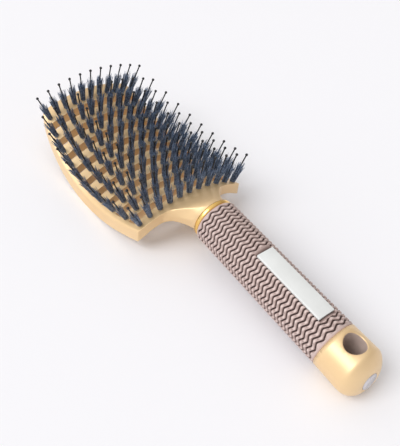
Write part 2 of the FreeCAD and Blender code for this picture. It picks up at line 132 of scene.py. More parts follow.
def layFloor():
    clearSelection()
    bpy.ops.mesh.primitive_plane_add(size=stageLook["floorSpan"] * mm, location=(0, 0, 0))
    floor = bpy.context.object
    floor.name = "floor"
    material, tree = newMaterial("paintedBoard")  # matte white board, rolled paint
    spot = addNode(tree, "ShaderNodeTexCoord").outputs["Object"]
    stipple = {"Scale": grainScale(stageLook["floorGrain"]), "Detail": 3.0}
    grain = addNode(tree, "ShaderNodeTexNoise", stipple, {"Vector": spot})
    strength, depth = stageLook["floorRelief"]
    relief = {"Strength": strength, "Distance": depth * mm}
    bump = addNode(tree, "ShaderNodeBump", relief, {"Height": grain.outputs["Fac"]})
    paint = addNode(
        tree,
        "ShaderNodeBsdfPrincipled",
        {"Base Color": linearColour(stageLook["floorColour"]), "Roughness": stageLook["floorRoughness"]},
        {"Normal": bump.outputs["Normal"]},
    )
    addNode(tree, "ShaderNodeOutputMaterial", links={"Surface": paint.outputs["BSDF"]})
    floor.data.materials.append(material)


def raiseSky():  # a studio with one bright side, and a pale backdrop low down all round
    world = bpy.data.worlds.new("softStudio")
    bpy.context.scene.world = world
    world.use_nodes = True
    tree = world.node_tree
    tree.nodes.clear()
    way = addNode(tree, "ShaderNodeTexCoord").outputs["Generated"]
    side = addNode(tree, "ShaderNodeVectorMath", {"operation": "DOT_PRODUCT"}, {0: way})
    side.inputs[1].default_value = stageLook["brightSide"]
    fade = addNode(tree, "ShaderNodeMapRange", {"From Min": -1.0}, {"Value": side.outputs["Value"]})
    stops = {"stops": stageLook["skyStops"]}
    dome = addNode(tree, "ShaderNodeValToRGB", stops, {"Fac": fade.outputs["Result"]})
    axes = addNode(tree, "ShaderNodeSeparateXYZ", links={0: way})
    low, high = stageLook["horizonBand"]
    band = {"From Min": low, "From Max": high}
    climb = addNode(tree, "ShaderNodeMapRange", band, {"Value": axes.outputs["Z"]})
    backdrop = addNode(
        tree,
        "ShaderNodeMixRGB",
        {"Color1": linearColour(stageLook["horizonColour"])},
        {"Fac": climb.outputs["Result"], "Color2": dome.outputs["Color"]},
    )
    bright = {"Strength": stageLook["skyStrength"]}
    sky = addNode(tree, "ShaderNodeBackground", bright, {"Color": backdrop.outputs["Color"]})
    addNode(tree, "ShaderNodeOutputWorld", links={"Surface": sky.outputs["Background"]})


def hangLamp():
    lamp = bpy.data.lights.new("windowLight", "SUN")
    lamp.energy = windowLight["strength"]
    lamp.angle = math.radians(windowLight["spread"])
    holder = bpy.data.objects.new("windowLight", lamp)
    bpy.context.scene.collection.objects.link(holder)
    holder.rotation_euler = Vector(windowLight["towards"]).to_track_quat("Z", "Y").to_euler()


def placeCamera():
    lens = bpy.data.cameras.new("photoCamera")
    lens.sensor_fit = "HORIZONTAL"
    lens.sensor_width = cameraPlace["sensor"]
    lens.lens = cameraPlace["lens"]
    lens.clip_start = cameraPlace["nearest"] * mm
    camera = bpy.data.objects.new("photoCamera", lens)
    bpy.context.scene.collection.objects.link(camera)
    turn = Matrix((cameraPlace["right"], cameraPlace["up"], cameraPlace["back"])).transposed()
    camera.matrix_world = Matrix.Translation(Vector(cameraPlace["spot"]) * mm) @ turn.to_4x4()
    bpy.context.scene.camera = camera
    bpy.context.scene.view_settings.view_transform = "Standard"


def buildStage():
    layFloor()
    raiseSky()
    hangLamp()
    placeCamera()
    print("stage: floor, dome, window light and camera")


# Materials

goldLook = {
    "tones": [(0.3, "#E8C592"), (0.7, "#EDCE9F")],
    "drift": 35.714,  # slow change of tone along the moulding
    "peel": 0.52632,  # orange peel of the lacquer, drawn as coarse as it needs to show
    "peelRelief": (0.06, 0.2),
    "roughness": (0.4, 0.5),
    "metallic": 0.5,  # flake in the paint
    "ior": 1.5,
    "coat": 0.5,
    "coatRoughness": 0.4,
}
# painted shade on the wall of the hanging hole
boreShadeLook = {"tones": [(0.3, "#B3A199"), (0.7, "#BFADA4")], "cloud": 3.3333, "roughness": 0.5, "ior": 1.54}
ringLook = {"tones": [(0.3, "#F0C16C"), (0.7, "#F7CF84")], "haze": 3.8462, "roughness": (0.2, 0.3)}
gripLook = {
    # ramp from painted groove shade up to painted ridge sheen
    "tones": [(0.05, "#362625"), (0.42, "#806A64"), (0.75, "#BEA8A2"), (1.0, "#D5C1BB")],  # groove to ridge
    "grit": 0.38462,  # skin of the mould, drawn as coarse as it needs to show
    "gritRelief": (0.15, 0.2),
    "roughness": 0.62,
    "ior": 1.5,
}
plainLooks = {  # cloud is the size of the tone's patches
    # drawn nylon of the bristles: slate blue, a soft sheen, and tones that change within a tuft
    "bristleNylon": {
        "tones": [(0.35, "#404F69"), (0.65, "#8598B4")],
        "cloud": 1.1111,
        "roughness": 0.36,
        "ior": 1.53,
    },
    # moulded nylon of the pins: black, with a small glint on each ball
    "pinNylon": {
        "tones": [(0.35, "#0B0D11"), (0.65, "#181B22")],
        "cloud": 3.3333,
        "roughness": 0.28,
        "ior": 1.53,
    },
    # flattened galvanised wire of the anchors: dull grey
    "galvanisedWire": {
        "tones": [(0.3, "#A8A8A8"), (0.7, "#BDBDBD")],
        "cloud": 8.3333,
        "roughness": 0.4,
        "ior": 1.5,
    },
    # moulded disc, left bare: cool and pale with some shine
    "bareDisc": {
        "tones": [(0.3, "#CFCBD0"), (0.7, "#DAD7DC")],
        "cloud": 8.3333,
        "roughness": 0.25,
        "ior": 1.5,
    },
    # vinyl plate, left bare: pale and matte
    "bareVinyl": {
        "tones": [(0.3, "#DDDFDE"), (0.7, "#E3E5E4")],
        "cloud": 8.3333,
        "roughness": 0.5,
        "ior": 1.5,
    },
}


def goldPaint(tree):
    # gold paint on moulded ABS: metallic flake under a satin lacquer, faint orange peel
    spot = addNode(tree, "ShaderNodeTexCoord").outputs["Object"]
    slow = {"Scale": grainScale(goldLook["drift"]), "Detail": 2.0}
    drift = addNode(tree, "ShaderNodeTexNoise", slow, {"Vector": spot}).outputs["Fac"]
    colour = addNode(tree, "ShaderNodeValToRGB", {"stops": goldLook["tones"]}, {"Fac": drift})
    fine = {"Scale": grainScale(goldLook["peel"]), "Detail": 2.0}
    peel = addNode(tree, "ShaderNodeTexNoise", fine, {"Vector": spot})
    low, high = goldLook["roughness"]
    gloss = addNode(tree, "ShaderNodeMapRange", {"To Min": low, "To Max": high}, {"Value": drift})
    strength, depth = goldLook["peelRelief"]
    relief = {"Strength": strength, "Distance": depth * mm}
    bump = addNode(tree, "ShaderNodeBump", relief, {"Height": peel.outputs["Fac"]})
    return addNode(
        tree,
        "ShaderNodeBsdfPrincipled",
        {
            "Metallic": goldLook["metallic"],
            "IOR": goldLook["ior"],
            "Coat Weight": goldLook["coat"],
            "Coat Roughness": goldLook["coatRoughness"],
        },
        {
            "Base Color": colour.outputs["Color"],
            "Roughness": gloss.outputs["Result"],
            "Normal": bump.outputs["Normal"],
        },
    )


def satinGold():
    material, tree = newMaterial("satinGoldAbs")
    paint = goldPaint(tree)
    addNode(tree, "ShaderNodeOutputMaterial", links={"Surface": paint.outputs["BSDF"]})
    return material


def capGold():
    # the same paint, with painted shade down the hanging hole: a greyer, darker, unmetallic tone on the
    # bore's wall
    material, tree = newMaterial("satinGoldCap")
    paint = goldPaint(tree)
    spot = addNode(tree, "ShaderNodeTexCoord").outputs["Object"]
    cloud = addNode(tree, "ShaderNodeTexNoise", {"Scale": grainScale(boreShadeLook["cloud"])}, {"Vector": spot})
    tone = addNode(tree, "ShaderNodeValToRGB", {"stops": boreShadeLook["tones"]}, {"Fac": cloud.outputs["Fac"]})
    boreShadePaint = addNode(
        tree,
        "ShaderNodeBsdfPrincipled",
        {"Roughness": boreShadeLook["roughness"], "IOR": boreShadeLook["ior"]},
        {"Base Color": tone.outputs["Color"]},
    )
    bore = addNode(tree, "ShaderNodeAttribute", {"attribute_name": "bore"})
    both = addNode(
        tree,
        "ShaderNodeMixShader",
        links={0: bore.outputs["Fac"], 1: paint.outputs["BSDF"], 2: boreShadePaint.outputs["BSDF"]},
    )
    addNode(tree, "ShaderNodeOutputMaterial", links={"Surface": both.outputs["Shader"]})
    return material


def platedGold():
    # bright gold plating on the ring, under a faint haze of handling
    material, tree = newMaterial("goldPlating")
    spot = addNode(tree, "ShaderNodeTexCoord").outputs["Object"]
    cloud = {"Scale": grainScale(ringLook["haze"]), "Detail": 2.0}
    haze = addNode(tree, "ShaderNodeTexNoise", cloud, {"Vector": spot}).outputs["Fac"]
    low, high = ringLook["roughness"]
    gloss = addNode(tree, "ShaderNodeMapRange", {"To Min": low, "To Max": high}, {"Value": haze})
    colour = addNode(tree, "ShaderNodeValToRGB", {"stops": ringLook["tones"]}, {"Fac": haze})
    metal = addNode(
        tree,
        "ShaderNodeBsdfPrincipled",
        {"Metallic": 1.0},
        {"Base Color": colour.outputs["Color"], "Roughness": gloss.outputs["Result"]},
    )
    addNode(tree, "ShaderNodeOutputMaterial", links={"Surface": metal.outputs["BSDF"]})
    return material


def gripRubber():
    # moulded thermoplastic rubber, matte; its colour follows the ridge height: painted shade down in the
    # grooves and a painted sheen on the ridge tops
    material, tree = newMaterial("mouldedRubber")
    spot = addNode(tree, "ShaderNodeTexCoord").outputs["Object"]
    ridge = addNode(tree, "ShaderNodeAttribute", {"attribute_name": "ridge"})
    colour = addNode(tree, "ShaderNodeValToRGB", {"stops": gripLook["tones"]}, {"Fac": ridge.outputs["Fac"]})
    fine = {"Scale": grainScale(gripLook["grit"]), "Detail": 3.0}
    grit = addNode(tree, "ShaderNodeTexNoise", fine, {"Vector": spot})
    strength, depth = gripLook["gritRelief"]
    relief = {"Strength": strength, "Distance": depth * mm}
    bump = addNode(tree, "ShaderNodeBump", relief, {"Height": grit.outputs["Fac"]})
    rubber = addNode(
        tree,
        "ShaderNodeBsdfPrincipled",
        {"Roughness": gripLook["roughness"], "IOR": gripLook["ior"]},
        {"Base Color": colour.outputs["Color"], "Normal": bump.outputs["Normal"]},
    )
    addNode(tree, "ShaderNodeOutputMaterial", links={"Surface": rubber.outputs["BSDF"]})
    return material


def plainFinish(name):  # one tone with a little cloud in it
    look = plainLooks[name]
    material, tree = newMaterial(name)
    spot = addNode(tree, "ShaderNodeTexCoord").outputs["Object"]
    soft = {"Scale": grainScale(look["cloud"]), "Detail": 2.0}
    cloud = addNode(tree, "ShaderNodeTexNoise", soft, {"Vector": spot})
    colour = addNode(tree, "ShaderNodeValToRGB", {"stops": look["tones"]}, {"Fac": cloud.outputs["Fac"]})
    skin = addNode(
        tree,
        "ShaderNodeBsdfPrincipled",
        {"Roughness": look["roughness"], "IOR": look["ior"]},
        {"Base Color": colour.outputs["Color"]},
    )
    addNode(tree, "ShaderNodeOutputMaterial", links={"Surface": skin.outputs["BSDF"]})
    return material


# Head: the vented saddle and its neck, one moulding

headForm = {
    "nearEdge": 11.778,
    "length": 111.92,
    "halfWidth": 39.7,
    "stations": (0.0, 0.10, 0.24, 0.40, 0.54, 0.68, 0.80, 0.90, 0.965, 1.0),
    "widthShares": (0.916, 0.950, 0.986, 1.0, 0.992, 0.963, 0.917, 0.861, 0.815, 0.770),
    "archRadius": 73.0,
    "spineRadius": 161.0,
    "lowPlace": 49.4,
    "lowHeight": 19.07,
    "firstRow": 3.6,
    "rowPitch": 11.28,
    "rows": 10,
    "ribWidth": 6.6,
    "ribDepth": 6.4,
    "nearDepth": 7.2,
    "rimDepth": 7.62,
    "cornerFoot": 0.5,
    "rimWall": 3.0,
    "farWall": 4.2,
    "columns": 16,
    "sweep": (-0.9, -0.9, -0.9, -0.9, -0.9, -0.9, -0.6, -0.35, 0.0, 0.4),  # near edge, middle to wing
    "ribRound": 0.45,
    "rimRound": 1.4,
    "sideRound": 2.6,
    "nearRound": 0.8,
    "cornerRound": 2.2,
    "endRound": 0.25,
    "widestRound": 3.0,
    "roundSteps": 2,
    "smoothLevels": 2,
    "sharpFrom": 30.0,  # faces that meet at less than this stay unrounded
    "downFacing": -0.5,  # a normal below this is the underside
    "edgeReach": 0.5,  # how near an outer edge a corner counts as part of it
    "ledgeReach": 1.2,
}
neckForm = {  # sections from the head to the ring, in shares of that run
    "columns": 10,
    "ringPlace": (-4.732, 23.137),  # y and z of the shoulder behind the ring
    "ringRadius": 11.5,
    "tilt": 4.9,
    "runs": (0.12, 0.28, 0.46, 0.64, 0.82, 1.0),
    "edgeHalfs": (16.2, 13.8, 11.5, 9.3, 6.8, 3.9),  # the crisp upper edge draws in to the ring's top
    "sideHalfs": (18.2, 16.0, 14.2, 12.8, 11.9, 11.5),
    "talls": (0.92, 0.77, 0.56, 0.35, 0.15, 0.0),
    "squares": (0.92, 0.75, 0.55, 0.35, 0.15, 0.0),
    "sideAngles": (143.0, 170.0),
    "lowAngle": 202.0,
    "sideShares": (0.6, 1.0),
    "lowShare": 0.96,
    "nearFacing": -0.8,  # a normal below this is the near wall
    "rootReach": 1.3,
    "endReach": 1.6,
}


def spread(share, places, values):  # smooth curve through a table
    last = len(places) - 1
    k = max(j for j in range(last) if places[j] <= share or j == 0)
    step = places[k + 1] - places[k]
    part = (share - places[k]) / step

    def slope(j):
        low, high = max(j - 1, 0), min(j + 1, last)
        return (values[high] - values[low]) / (places[high] - places[low])

    keep = 1.0 - part
    return (
        values[k] * keep * keep * (1.0 + 2.0 * part)
        + values[k + 1] * part * part * (3.0 - 2.0 * part)
        + step * part * keep * (keep * slope(k) - part * slope(k + 1))
    )


def headHalf(along):
    share = min(max(along / headForm["length"], 0.0), 1.0)
    return headForm["halfWidth"] * spread(share, headForm["stations"], headForm["widthShares"])


def archDrop(across):
    return headForm["archRadius"] - math.sqrt(headForm["archRadius"] ** 2 - across**2)


def topHeight(along, across):
    radius = headForm["spineRadius"]
    rise = radius - math.sqrt(radius**2 - (along - headForm["lowPlace"]) ** 2)
    return headForm["lowHeight"] + rise - archDrop(across)


def rowPlace(row):
    return headForm["firstRow"] + row * headForm["rowPitch"]


def headPlaces():  # near edge, both sides of every slot, far wall and far edge
    half = headForm["ribWidth"] / 2
    places = [0.0]
    for row in range(headForm["rows"] - 1):
        places += [rowPlace(row) + half, rowPlace(row + 1) - half]
    return places + [headForm["length"] - headForm["farWall"], headForm["length"]]


def bendGrid(head, places, columns):  # bends the flat grid to the saddle and takes out the slots
    rows = len(places) - 1
    mesh = bmesh.from_edit_mesh(head.data)
    mesh.faces.ensure_lookup_table()
    for face in mesh.faces:  # slots between the ribs
        middle = face.calc_center_median()
        row = int((middle.y + 0.5) * rows)
        column = int((middle.x + 0.5) * columns)
        face.select_set(row % 2 == 1 and row < rows - 1 and 0 < column < columns - 1)
    for vert in mesh.verts:
        row = round((vert.co.y + 0.5) * rows)
        column = round((vert.co.x + 0.5) * columns)
        along = places[row]
        half = headHalf(along)
        fromMiddle = column - columns // 2
        if column in (0, columns):
            across = math.copysign(half, fromMiddle)
        else:
            across = (half - headForm["rimWall"]) * fromMiddle / (columns // 2 - 1)
        bow = headForm["sweep"][abs(fromMiddle)] if row == 0 else 0.0
        vert.co = Vector((across, headForm["nearEdge"] + along + bow, topHeight(along, across))) * mm
    bmesh.update_edit_mesh(head.data)
    bpy.ops.mesh.delete(type="FACE")


def pushDown(depth):  # extrudes what is selected by a depth in millimetres
    bpy.ops.mesh.extrude_region_move(TRANSFORM_OT_translate={"value": (0, 0, -depth * mm)})


def sinkRim(head, places):  # rim, near ledge and far wall go deeper than the ribs
    mesh = bmesh.from_edit_mesh(head.data)
    for face in mesh.faces:
        middle = face.calc_center_median() / mm
        along = middle.y - headForm["nearEdge"]
        onRim = abs(middle.x) > headHalf(along) - headForm["rimWall"]
        deep = along < places[1] or along > places[-2] or onRim
        face.select_set(face.normal.z < headForm["downFacing"] and deep)
    bmesh.update_edit_mesh(head.data)
    pushDown(headForm["rimDepth"] - headForm["ribDepth"])
    mesh = bmesh.from_edit_mesh(head.data)
    ledgeEnd = headForm["nearEdge"] + places[1] - headForm["edgeReach"]
    wingStart = headHalf(0.0) - headForm["rimWall"] - headForm["edgeReach"]
    for vert in mesh.verts:  # the near wall is shallower than the rim, whose corner makes a small foot
        if vert.select and vert.co.y / mm < ledgeEnd:
            corner = abs(vert.co.x) / mm > wingStart
            deeper = -headForm["cornerFoot"] if corner else headForm["rimDepth"] - headForm["nearDepth"]
            vert.co.z += deeper * mm
    bmesh.update_edit_mesh(head.data)


def buildHead(material):
    clearSelection()
    places = headPlaces()
    columns = headForm["columns"] + 2
    bpy.ops.mesh.primitive_grid_add(x_subdivisions=columns, y_subdivisions=len(places) - 1, size=1)
    head = bpy.context.object
    bpy.ops.object.mode_set(mode="EDIT")
    bendGrid(head, places, columns)
    bpy.ops.mesh.select_all(action="SELECT")
    for _ in range(2):  # in two steps, which gives the walls a middle row
        pushDown(headForm["ribDepth"] / 2)
    bpy.ops.mesh.select_all(action="SELECT")
    bpy.ops.mesh.normals_make_consistent(inside=False)
    sinkRim(head, places)
    edgeLine = growNeck(head)
    weightEdges(head, edgeLine)
    bpy.ops.object.mode_set(mode="OBJECT")
    width, steps = headForm["widestRound"] * mm, headForm["roundSteps"]
    applyModifier(head, "BEVEL", limit_method="WEIGHT", width=width, segments=steps)
    smooth = headForm["smoothLevels"]
    applyModifier(head, "SUBSURF", levels=smooth, render_levels=smooth)
    bpy.ops.object.shade_smooth()
    finishPiece(head, "headMoulding", material, "gold_plastic", "head_frame")
    print("head: %d faces" % len(head.data.polygons))


def neckPoint(column, level, step):
    run, edgeHalf, sideHalf, tall, square = (
        neckForm[key][step] for key in ("runs", "edgeHalfs", "sideHalfs", "talls", "squares")
    )
    ringY, ringZ = neckForm["ringPlace"]
    radius = neckForm["ringRadius"]
    rootY = headForm["nearEdge"] + headForm["sweep"][0]
    rootTop = topHeight(0.0, 0.0)
    y = rootY + run * (ringY - rootY)
    top = ringZ + radius + tall * (rootTop - ringZ - radius)
    deep = 2.0 * radius + tall * (headForm["nearDepth"] - 2.0 * radius)
    share = 2.0 * column / neckForm["columns"] - 1.0
    if level == 0:
        across = edgeHalf * share
        boxed = Vector((across, 0.0, deep / 2 - archDrop(across)))
        curved = Vector((across, 0.0, deep / 2 * math.sqrt(1.0 - (across / sideHalf) ** 2)))
    elif level == 3:
        across = neckForm["lowShare"] * sideHalf * share
        angle = math.radians(270.0 - (270.0 - neckForm["lowAngle"]) * -share)
        boxed = Vector((across, 0.0, -deep / 2 - square * archDrop(across)))
        curved = Vector((sideHalf * math.cos(angle), 0.0, deep / 2 * math.sin(angle)))
    else:
        wide = edgeHalf + neckForm["sideShares"][level - 1] * (sideHalf - edgeHalf)
        angle = math.radians(neckForm["sideAngles"][level - 1])
        boxed = Vector((wide * share, 0.0, deep / 2 - deep * level / 3))
        curved = Vector((-sideHalf * math.cos(angle) * share, 0.0, deep / 2 * math.sin(angle)))
    spot = curved.lerp(boxed, square)
    spot.rotate(Euler((math.radians(neckForm["tilt"]) * (1.0 - tall), 0.0, 0.0)))
    return Vector((0.0, y, top - deep / 2)) + spot


def placeKey(spot):
    return tuple(round(c / mm, 3) for c in spot)


def growNeck(head):
    mesh = bmesh.from_edit_mesh(head.data)
    rootHalf = (headHalf(0.0) - headForm["rimWall"]) * neckForm["columns"] / headForm["columns"]
    for face in mesh.faces:
        middle = face.calc_center_median() / mm
        nearWall = face.normal.y < neckForm["nearFacing"] and middle.y < headForm["nearEdge"]
        face.select_set(nearWall and abs(middle.x) < rootHalf)
    bmesh.update_edit_mesh(head.data)
    levels = 4  # rows of corners down the near wall
    chosen = {vert for face in mesh.faces if face.select for vert in face.verts}
    chosen = sorted(chosen, key=lambda vert: vert.co.x)
    tags = {}
    for column in range(neckForm["columns"] + 1):
        stack = sorted(chosen[column * levels : (column + 1) * levels], key=lambda vert: -vert.co.z)
        tags.update({placeKey(vert.co): (column, level) for level, vert in enumerate(stack)})
    edgeLine = {key for key, tag in tags.items() if tag[1] == 0 and tag[0] in (0, neckForm["columns"])}
    for step in range(len(neckForm["runs"])):
        bpy.ops.mesh.extrude_region_move(TRANSFORM_OT_translate={"value": (0, 0, 0)})
        mesh = bmesh.from_edit_mesh(head.data)
        fresh = {}
        for vert in mesh.verts:
            if vert.select:
                column, level = tags[placeKey(vert.co)]
                vert.co = neckPoint(column, level, step) * mm
                fresh[placeKey(vert.co)] = (column, level)
        tags = fresh
        edgeLine |= {key for key, tag in tags.items() if tag[1] == 0 and tag[0] in (0, neckForm["columns"])}
        bmesh.update_edit_mesh(head.data)
    return edgeLine


def weightEdges(head, edgeLine):  # each sharp edge gets its own round, as a share of the widest
    mesh = bmesh.from_edit_mesh(head.data)
    layers = mesh.edges.layers.float
    weights = layers.get("bevel_weight_edge") or layers.new("bevel_weight_edge")
    ringY = neckForm["ringPlace"][0]
    reach = headForm["edgeReach"]
    for edge in mesh.edges:
        ends = [vert.co / mm for vert in edge.verts]
        middle = (ends[0] + ends[1]) / 2
        along = middle.y - headForm["nearEdge"]
        upright = abs(ends[0].z - ends[1].z) > (ends[0].xy - ends[1].xy).length
        if all(placeKey(vert.co) in edgeLine for vert in edge.verts):
            wide = headForm["nearRound"] * (1.0 + max(-along, 0.0) / (headForm["nearEdge"] - ringY))
        elif len(edge.link_faces) != 2 or edge.calc_face_angle() < math.radians(headForm["sharpFrom"]):
            continue
        elif max(end.y for end in ends) < ringY + neckForm["endReach"]:
            wide = headForm["endRound"]
        elif along < -neckForm["rootReach"]:
            wide = headForm["rimRound"]
        elif abs(middle.x) > headHalf(along) - reach or along > headForm["length"] - reach:
            upper = middle.z > topHeight(along, middle.x) - headForm["ribDepth"] / 3
            wide = headForm["cornerRound"] if upright else headForm["sideRound" if upper else "rimRound"]
        elif along < headForm["ledgeReach"]:
            wide = headForm["nearRound"]
        else:
            wide = headForm["ribRound"]
        edge[weights] = wide / headForm["widestRound"]
    bmesh.update_edit_mesh(head.data)


# Grip: a rubber sleeve with waves that run round it

gripForm = {
    "start": (0.0, -7.322, 22.915),
    "tilt": 4.9,
    "length": 91.8,
    "ringRadius": 13.3,
    "capRadius": 13.6,
    "coreRadius": 8.9,
    "setBack": 0.5,  # how much of the ring's end the sleeve leaves bare
    "endRound": 1.4,
    "grooves": 35,
    "waves": 12,
    "swing": 0.68,
    "cornerShare": 0.06,  # draws the waves' corners tighter
    "grooveDepth": 1.25,
    "grooveShare": 0.5,  # of the pitch
    "floorShare": 0.3,  # of the groove
    "shoulder": 0.8,  # height of the groove's lips, where one is a ridge's crown
    # dips the ridge between the waves' corners in height and in colour: real beads, with painted highlights
    # on them
    "beading": 0.55,
    "bandLift": 0.8,  # the smooth bands lie a little under the ridges
    "ringBand": 2.3,
    "capBand": 2.2,
    "crease": 75.0,
}
windowForm = {  # the recess for the label
    "start": 36.8,
    "end": 82.0,
    "middle": 60.0,
    "half": 5.6,
    "depth": 1.6,
    "startSlope": 2.0,
    "endSlope": 1.5,
    # these also set the slopes' colour, darker lower down: painted shade
    "slopeLift": (0.2, 0.55),  # foot of a slope, and its rise
    "slopeReach": 1.02,  # how far across the window a slope goes
    # dark tone of the window floor: painted shade in the recess round the label
    "tone": 0.3,
}
gripMesh = {
    "perWave": 12,
    "perPitch": 8,
    "endShares": (0.0, 0.05, 0.2, 0.5),  # extra rings on the rounded ends
    "sideGap": 0.012,  # radians each way from the window's side
    "sliver": 0.03,  # radians: columns nearer to that side than this are left out
    "edgeGap": 0.06,
    "leastStep": 0.05,
    "seam": 0.01,
}
gripPitch = (gripForm["length"] - gripForm["ringBand"] - gripForm["capBand"]) / (
    gripForm["grooves"] - 1 + gripForm["grooveShare"]
)


def gripPoint(run, angle, radius):
    tilt = math.radians(gripForm["tilt"])
    away = Vector((0.0, -math.cos(tilt), -math.sin(tilt)))
    up = Vector((0.0, -math.sin(tilt), math.cos(tilt)))
    side = Vector((1.0, 0.0, 0.0))
    return Vector(gripForm["start"]) + away * run + (up * math.cos(angle) + side * math.sin(angle)) * radius


def handleWay():  # one millimetre along the handle, towards the cap
    return (gripPoint(1.0, 0.0, 0.0) - gripPoint(0.0, 0.0, 0.0)) * mm


def handleSpot(point):  # along the handle, across it, and up from its axis
    tilt = math.radians(gripForm["tilt"])
    off = point / mm - Vector(gripForm["start"])
    return (
        -off.y * math.cos(tilt) - off.z * math.sin(tilt),
        off.x,
        off.z * math.cos(tilt) - off.y * math.sin(tilt),
    )


def gripRadius(run):
    widening = gripForm["capRadius"] - gripForm["ringRadius"]
    return gripForm["ringRadius"] + widening * run / gripForm["length"]


def windowAngle(run):  # half the window, as an angle round the handle
    return math.asin(windowForm["half"] / gripRadius(run))


def smoothStep(part):
    return part * part * (3.0 - 2.0 * part)


# the same height sets the sleeve's colour, so grooves get painted shade and ridge crowns a painted sheen
def ridgeHeight(run, angle):  # one on a ridge, zero in a groove
    turn = gripForm["waves"] * angle
    swing = gripForm["swing"] * (math.cos(turn) + gripForm["cornerShare"] * math.cos(3 * turn))
    place = (run + swing - gripForm["ringBand"]) / gripPitch
    groove = min(max(math.floor(place), 0), gripForm["grooves"] - 1)
    half = gripForm["grooveShare"] / 2
    off = abs(place - groove - half)
    shoulder = gripForm["shoulder"]
    if off < half:
        part = max(off / half - gripForm["floorShare"], 0.0) / (1.0 - gripForm["floorShare"])
        return shoulder * smoothStep(part)
    if not 0.0 < place < gripForm["grooves"] - 0.5 + half:
        return gripForm["bandLift"]
    crown = 1.0 - abs(place - groove - half - 0.5) / (0.5 - half)
    bead = gripForm["beading"] * math.sin(turn) ** 2
    return shoulder + (1.0 - shoulder) * math.sin(min(crown * 2.0, 1.0) * math.pi / 2) - bead * crown


def gripAngles(nominal):  # columns round the sleeve, with a close pair on each side of the window
    around = gripForm["waves"] * gripMesh["perWave"]
    gap = gripMesh["sideGap"]
    angles = [-math.pi + 2 * math.pi * k / around for k in range(around + 1)]
    angles = [angle for angle in angles if abs(abs(angle) - nominal) > gripMesh["sliver"]]
    return sorted(angles + [side * (nominal + nudge) for side in (-1, 1) for nudge in (-gap, gap)])


def gripRuns():  # rings along the sleeve, closer at its ends and at the window's ends
    first, last, bend = gripForm["setBack"], gripForm["length"], gripForm["endRound"]
    step = gripPitch / gripMesh["perPitch"]
    runs = [first + k * step for k in range(1, int((last - first) / step))]
    for share in gripMesh["endShares"]:
        runs += [first + share * bend, last - share * bend]
    gap = gripMesh["edgeGap"]
    runs += [windowForm[key] + nudge for key in ("start", "end") for nudge in (-gap, gap)]
    runs.sort()
    return [run for k, run in enumerate(runs) if k == 0 or run - runs[k - 1] > gripMesh["leastStep"]]


def gripSkin(run, angle, nominal):  # a point of the sleeve, and its height in the pattern
    start, end = windowForm["start"], windowForm["end"]
    inWindow = abs(angle) < nominal and start < run < end
    limit = windowAngle(min(max(run, start), end))
    if abs(angle) <= nominal:
        angle *= limit / nominal
    else:
        past = (abs(angle) - nominal) * (math.pi - limit) / (math.pi - nominal)
        angle = math.copysign(limit + past, angle)
    lift = ridgeHeight(run, angle)
    before = (start - run) / windowForm["startSlope"]
    after = (run - end) / windowForm["endSlope"]
    onSlope = 0.0 <= before < 1.0 or 0.0 <= after < 1.0
    if onSlope and abs(angle) < limit * windowForm["slopeReach"]:
        foot, rise = windowForm["slopeLift"]
        # the colour follows the drop: painted shade darkens the slopes towards the label
        lift = foot + rise * max(before, after)  # smooth slopes lead down to the label
    drop = gripForm["grooveDepth"] * (1.0 - lift)
    # the window floor takes a dark tone: painted shade in the recess
    if inWindow:
        drop = windowForm["depth"]
        lift = windowForm["tone"]
    fromEnd = min(run - gripForm["setBack"], gripForm["length"] - run)
    short = max(gripForm["endRound"] - fromEnd, 0.0)
    drop += gripForm["endRound"] - math.sqrt(max(gripForm["endRound"] ** 2 - short**2, 0.0))
    return gripPoint(run, angle, gripRadius(run) - drop), lift


def closeEnds(grip):  # end faces run in to the core, and a bore joins them
    mesh = bmesh.from_edit_mesh(grip.data)
    for element in list(mesh.verts) + list(mesh.edges) + list(mesh.faces):
        element.select_set(False)
    for edge in mesh.edges:
        edge.select_set(edge.is_boundary)
    bmesh.update_edit_mesh(grip.data)
    bpy.ops.mesh.extrude_edges_move()
    mesh = bmesh.from_edit_mesh(grip.data)
    for vert in mesh.verts:
        if vert.select:
            near = handleSpot(vert.co)[0] < gripForm["length"] / 2
            middle = gripPoint(gripForm["setBack"] if near else gripForm["length"], 0.0, 0.0)
            out = (vert.co / mm - middle).normalized()
            vert.co = (middle + out * gripForm["coreRadius"]) * mm
    bmesh.update_edit_mesh(grip.data)
    bpy.ops.mesh.bridge_edge_loops()


def buildGrip(material):
    clearSelection()
    nominal = windowAngle(windowForm["middle"])
    angles = gripAngles(nominal)
    runs = gripRuns()
    columns, rows = len(angles) - 1, len(runs) - 1
    bpy.ops.mesh.primitive_grid_add(x_subdivisions=columns, y_subdivisions=rows, size=1)
    grip = bpy.context.object
    heights = []
    for vert in grip.data.vertices:
        run = runs[round((vert.co.y + 0.5) * rows)]
        angle = angles[round((vert.co.x + 0.5) * columns)]
        point, lift = gripSkin(run, angle, nominal)
        vert.co = point * mm
        heights.append(lift)
    # these heights also set the colour: painted shade in the grooves, painted sheen on the ridges
    mark = grip.data.attributes.new("ridge", "FLOAT", "POINT")
    mark.data.foreach_set("value", heights)
    bpy.ops.object.mode_set(mode="EDIT")
    bpy.ops.mesh.select_all(action="SELECT")
    bpy.ops.mesh.remove_doubles(threshold=gripMesh["seam"] * mm)
    closeEnds(grip)
    bpy.ops.mesh.select_all(action="SELECT")
    bpy.ops.mesh.normals_make_consistent(inside=False)
    bpy.ops.object.mode_set(mode="OBJECT")
    makeActive(grip)
    bpy.ops.object.shade_smooth_by_angle(angle=math.radians(gripForm["crease"]))
    finishPiece(grip, "gripSleeve", material, "grip_rubber", "grip_sleeve")
    print("grip: %d faces" % len(grip.data.polygons))


# Bristle tufts: bundles of single bristles, modelled a few times and copied into every hole

